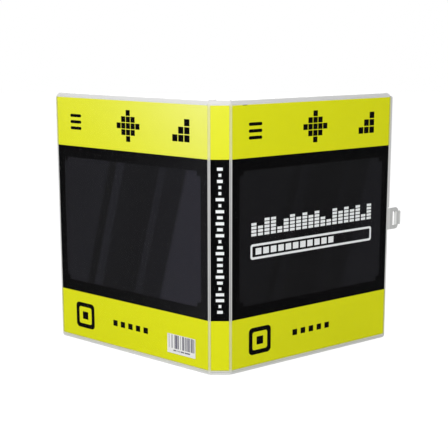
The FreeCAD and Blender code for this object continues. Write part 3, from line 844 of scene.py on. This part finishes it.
def hinge_web(side, material, segments):
    """A living hinge between the spine and a cover: a thin strip bent about the hinge's axis.

    It runs on a little into the relief at each end of the hinge.
    """
    node, joint, cover = side + "_hinge_web", side + "_cover_hinge", side + "_cover"
    low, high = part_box(node)
    spine_low, spine_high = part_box("spine_panel")
    axis = pivot(joint)
    sign = math.copysign(1.0, axis.x)
    half = abs(axis.x) - spine_high.x
    depth = axis.y - spine_low.y
    fold = fold_from_flat(joint)
    radius = half / math.tan(fold / 2)
    start = Vector((sign * spine_high.x, axis.y, low.z - WEB_REACH))
    centre = start + Vector((0.0, radius, 0.0))
    bm = bmesh.new()
    ends = [bm.verts.new(start + Vector((0.0, offset, 0.0))) for offset in (-depth, depth)]
    edge = bm.edges.new(ends)
    bmesh.ops.spin(bm, geom=[*ends, edge], cent=centre, axis=(0.0, 0.0, 1.0), angle=sign * fold,
                   steps=segments, use_merge=False)
    raise_section(bm, high.z + WEB_REACH)
    end = centre + Matrix.Rotation(sign * fold, 3, "Z") @ (start - centre)
    map_across(bm, start, end, lambda place: (place - centre).xy.length > radius)
    web = new_piece(side + "_hinge_strip", bm, material)
    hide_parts(node)
    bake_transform(web)


def clasp_web(material, segments):
    """The thin web that the clasp folds on: a strip run out from the cover's edge to the flap."""
    node = "clasp_web"
    flat = Matrix.Rotation(TURN["front"], 3, "Z")
    low, high = (flat.inverted() @ corner / MM for corner in laid_flat(node, TURN["front"]))
    along = flat.inverted() @ Vector((1.0, 0.0, 0.0))
    inwards = flat.inverted() @ Vector((0.0, 1.0, 0.0))
    length = (high - low).dot(along)
    thickness = (high - low).dot(inwards)
    bm = bmesh.new()
    ends = [bm.verts.new(low + inwards * offset) for offset in (0.0, thickness)]
    edge = bm.edges.new(ends)
    for _ in range(segments):
        grown = bmesh.ops.extrude_edge_only(bm, edges=[edge])["geom"]
        moved = [item for item in grown if isinstance(item, bmesh.types.BMVert)]
        edge = next(item for item in grown if isinstance(item, bmesh.types.BMEdge))
        bmesh.ops.translate(bm, verts=moved, vec=along * (length / segments))
    raise_section(bm, high.z)
    start = low + inwards * thickness / 2
    end = start + along * length
    map_across(bm, start, end, lambda place: (place - start).dot(inwards) < 0.0)
    web = new_piece("clasp_strip", bm, material)
    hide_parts(node)
    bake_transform(web)


# Operators

class DressMouldings(bpy.types.Operator):
    """Gives the covers, the spine and the clasp their frosted plastic"""
    bl_idname = "cartridge_case.dress_mouldings"
    bl_label = "Mouldings"

    def execute(self, context):
        finish = context.scene.case_finish
        shell = moulded("frosted_shell", finish.shell, finish.shell_roughness, SHELL_GRAIN)
        dress(("spine_panel", "front_cover", "back_cover"), shell)
        dress(("clasp_flap",), highlighted_clasp("highlighted_clasp", finish))
        return {"FINISHED"}


class BuildWebs(bpy.types.Operator):
    """Builds the living hinges, bent to the covers' folds, and the clasp's web"""
    bl_idname = "cartridge_case.build_webs"
    bl_label = "Living Hinges"

    def execute(self, context):
        finish = context.scene.case_finish
        plastic = whitened_web("hinge_web", finish, context.scene.case_print)
        for side in ("front", "back"):
            hinge_web(side, plastic, finish.web_segments)
        clasp_web(whitened_web("clasp_web", finish), finish.web_segments)
        return {"FINISHED"}


class PrintCards(bpy.types.Operator):
    """Prints the three cards"""
    bl_idname = "cartridge_case.print_cards"
    bl_label = "Printed Cards"

    def execute(self, context):
        settings = context.scene.case_print
        for side, draw in (("front", front_ink), ("back", back_ink), ("spine", spine_ink)):
            node = side + "_card"
            dress((node,), printed_card(side + "_print", node, TURN[side], settings, draw))
        return {"FINISHED"}


class DressSleeves(bpy.types.Operator):
    """Gives the three sleeves their clear film"""
    bl_idname = "cartridge_case.dress_sleeves"
    bl_label = "Clear Sleeves"

    def execute(self, context):
        scene = context.scene
        for side in TURN:
            film = clear_sleeve(side + "_film", side, scene.case_finish, scene.case_print)
            dress((side + "_sleeve",), film)
        return {"FINISHED"}


class DressLabel(bpy.types.Operator):
    """Gives the label its paper and bars"""
    bl_idname = "cartridge_case.dress_label"
    bl_label = "Label"

    def execute(self, context):
        scene = context.scene
        dress(("price_label",), label_paper("label_paper", scene.case_finish.paper, scene.case_print.bars))
        return {"FINISHED"}


class DressRings(bpy.types.Operator):
    """Gives the ring fixture its satin plastic"""
    bl_idname = "cartridge_case.dress_rings"
    bl_label = "Ring Fixture"

    def execute(self, context):
        finish = context.scene.case_finish
        satin = moulded("satin_ring", finish.ring, finish.ring_roughness, RING_GRAIN)
        dress(("ring_base", "ring_bar", "ring_rivets"), satin)
        return {"FINISHED"}


class DressPages(bpy.types.Operator):
    """Gives the pocket pages their soft clear film"""
    bl_idname = "cartridge_case.dress_pages"
    bl_label = "Pocket Pages"

    def execute(self, context):
        finish = context.scene.case_finish
        for node in PAGES:
            dress((node,), pocket_film(node + "_film", node, finish))
        return {"FINISHED"}


def seen_directly(graph):
    """1 for what the camera sees directly, in gloss or through clear film, and 0 for light on surfaces."""
    path = graph.add("ShaderNodeLightPath").outputs
    return union(graph, [path["Is Camera Ray"], path["Is Glossy Ray"], path["Is Transmission Ray"]])


def pale_floor():
    """A pale floor that reads as the background and keeps a faint shadow."""
    material, graph, _ = new_finish("pale_floor", Base_Color=opaque(FLOOR_GREY), Roughness=0.9,
                                    Specular_IOR_Level=0.0)
    nodes = material.node_tree.nodes
    glow = graph.add("ShaderNodeEmission", {"Color": WHITE, "Strength": FLOOR_GLOW})
    share = graph.math("MULTIPLY", seen_directly(graph), FLOOR_GLOW_SHARE)
    mix = graph.add("ShaderNodeMixShader", {0: share, 1: nodes["Principled BSDF"].outputs[0],
                                            2: glow.outputs[0]})
    graph.feed(nodes["Material Output"].inputs["Surface"], mix.outputs[0])
    bm = bmesh.new()
    bmesh.ops.create_grid(bm, x_segments=1, y_segments=1, size=FLOOR_REACH)
    floor = new_piece("floor", bm, material)


def even_world(ambient):
    """White where it is seen, and an even soft light on the case."""
    world = bpy.data.worlds.new("studio")
    world.use_nodes = True
    graph = Graph(world.node_tree)
    backdrop = graph.add("ShaderNodeBackground", {"Color": WHITE, "Strength": 1.0})
    light = graph.add("ShaderNodeBackground", {"Color": WHITE, "Strength": ambient})
    mix = graph.add("ShaderNodeMixShader", {0: seen_directly(graph), 1: light.outputs[0],
                                            2: backdrop.outputs[0]})
    graph.feed(world.node_tree.nodes["World Output"].inputs["Surface"], mix.outputs[0])
    bpy.context.scene.world = world


def look(placed, eye, target):
    """Puts a lamp or camera at eye, turned to target."""
    placed.location = eye
    placed.rotation_euler = (target - eye).to_track_quat("-Z", "Y").to_euler()
    bpy.context.scene.collection.objects.link(placed)


def round_about(target, azimuth, elevation, distance):
    """A point at a distance from target; azimuth 0 is in front of the case, along -Y."""
    level = math.cos(elevation)
    return target + distance * Vector((math.sin(azimuth) * level, -math.cos(azimuth) * level,
                                       math.sin(elevation)))


def softbox(name, power, size, place, target):
    """A rectangular softbox at a place about its target: azimuth, elevation and distance."""
    lamp = bpy.data.lights.new(name, "AREA")
    lamp.shape = "RECTANGLE"
    lamp.size, lamp.size_y = size
    lamp.energy = power
    look(bpy.data.objects.new(name, lamp), round_about(target, *place), target)


class SetStage(bpy.types.Operator):
    """Sets the floor, the light and the camera"""
    bl_idname = "cartridge_case.set_stage"
    bl_label = "Stage"

    def execute(self, context):
        scene = context.scene
        settings = scene.case_stage
        scene.view_settings.view_transform = "Standard"
        pale_floor()
        even_world(settings.ambient)
        target = Vector(settings.camera_target)
        softbox("key_softbox", settings.key_power, KEY_SIZE, KEY_PLACE, target)
        softbox("back_softbox", settings.back_power, BACK_SIZE, BACK_PLACE, target)
        camera = bpy.data.objects.new("camera", bpy.data.cameras.new("camera"))
        camera.data.lens = settings.lens
        look(camera, round_about(target, settings.camera_azimuth, settings.camera_elevation,
                                 settings.camera_distance), target)
        scene.camera = camera
        return {"FINISHED"}


class CasePanel(bpy.types.Panel):
    """Lists the case's pieces and their settings"""
    bl_idname = "VIEW3D_PT_cartridge_case"
    bl_label = "Cartridge Case"
    bl_space_type = "VIEW_3D"
    bl_region_type = "UI"
    bl_category = "Case"

    def draw(self, context):
        for operator in OPERATORS:
            self.layout.operator(operator.bl_idname)
        for settings in (context.scene.case_print, context.scene.case_finish, context.scene.case_stage):
            column = self.layout.box().column()
            for name in settings.bl_rna.properties.keys():
                if name not in ("rna_type", "name"):
                    column.prop(settings, name)


SETTINGS = {"case_print": PrintSettings, "case_finish": FinishSettings, "case_stage": StageSettings}
OPERATORS = (DressMouldings, BuildWebs, PrintCards, DressSleeves, DressLabel, DressRings, DressPages,
             SetStage)


def register():
    """Registers the settings, the operators and the panel."""
    for name, group in SETTINGS.items():
        bpy.utils.register_class(group)
        setattr(bpy.types.Scene, name, PointerProperty(type=group))
    for item in (*OPERATORS, CasePanel):
        bpy.utils.register_class(item)


def unregister():
    """Takes everything out again."""
    for item in reversed((*OPERATORS, CasePanel)):
        bpy.utils.unregister_class(item)
    for name, group in SETTINGS.items():
        delattr(bpy.types.Scene, name)
        bpy.utils.unregister_class(group)


def main():
    """Dresses the case."""
    register()
    bpy.ops.cartridge_case.dress_mouldings()
    bpy.ops.cartridge_case.build_webs()
    bpy.ops.cartridge_case.print_cards()
    bpy.ops.cartridge_case.dress_sleeves()
    bpy.ops.cartridge_case.dress_label()
    bpy.ops.cartridge_case.dress_rings()
    bpy.ops.cartridge_case.dress_pages()
    bpy.ops.cartridge_case.set_stage()


if __name__ == "__main__":
    main()
